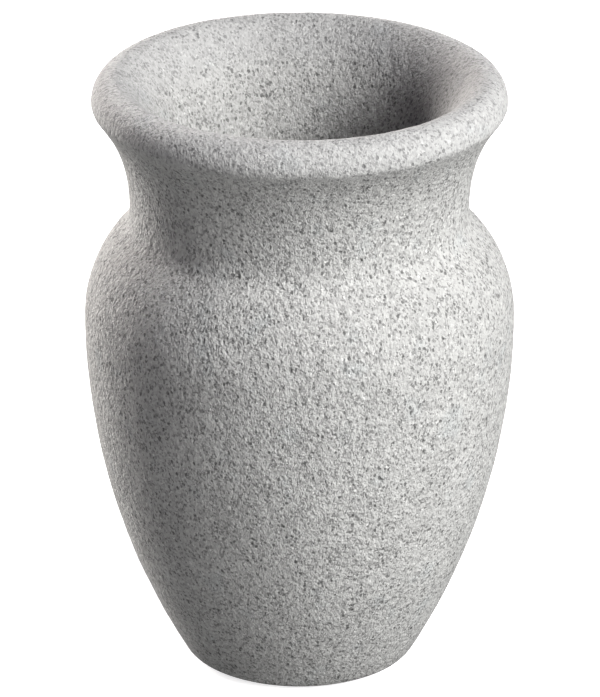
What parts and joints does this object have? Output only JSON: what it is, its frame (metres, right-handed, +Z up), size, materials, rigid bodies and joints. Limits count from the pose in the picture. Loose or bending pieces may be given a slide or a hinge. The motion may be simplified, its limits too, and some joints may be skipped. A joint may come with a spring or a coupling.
{
  "type": "stone flower vase",
  "caption": "Turned granite flower vase with a narrow foot, full belly, waisted neck and rolled lip, holding a lift-out steel water liner with a wire bail.",
  "frame": {"origin": "on the vase's axis, in the plane that the undersides of the three foot pads stand on", "axes": "+Z up along the axis of the turned stone; X runs through the two pivots of the liner's bail; the folded bail lies on the -Y side"},
  "size_m": [0.1668, 0.1668, 0.24],
  "materials": {
    "granite": "fine bush-hammered, matt",
    "liner_steel": "spun, satin",
    "lug_steel": "pressed, satin",
    "rivet_steel": "bright",
    "wire_steel": "drawn, satin",
    "pad_rubber": "matt"
  },
  "bodies": {
    "vase": {"vase_body": "granite", "base_pad_1": "pad_rubber", "base_pad_2": "pad_rubber", "base_pad_3": "pad_rubber"},
    "liner": {"liner_cup": "liner_steel", "bail_lug_left": "lug_steel", "bail_lug_right": "lug_steel", "lug_rivets": "rivet_steel"},
    "bail": {"liner_bail": "wire_steel"}
  },
  "joints": [
    {"name": "liner_lift", "type": "slide", "parent": "vase", "child": "liner", "axis": [0, 0, 1], "range_m": [0, 0.215]},
    {"name": "bail_swing", "type": "hinge", "parent": "liner", "child": "bail", "pos_m": [0, 0, 0.1821], "axis": [-1, 0, 0], "range_deg": [0, 180]}
  ]
}
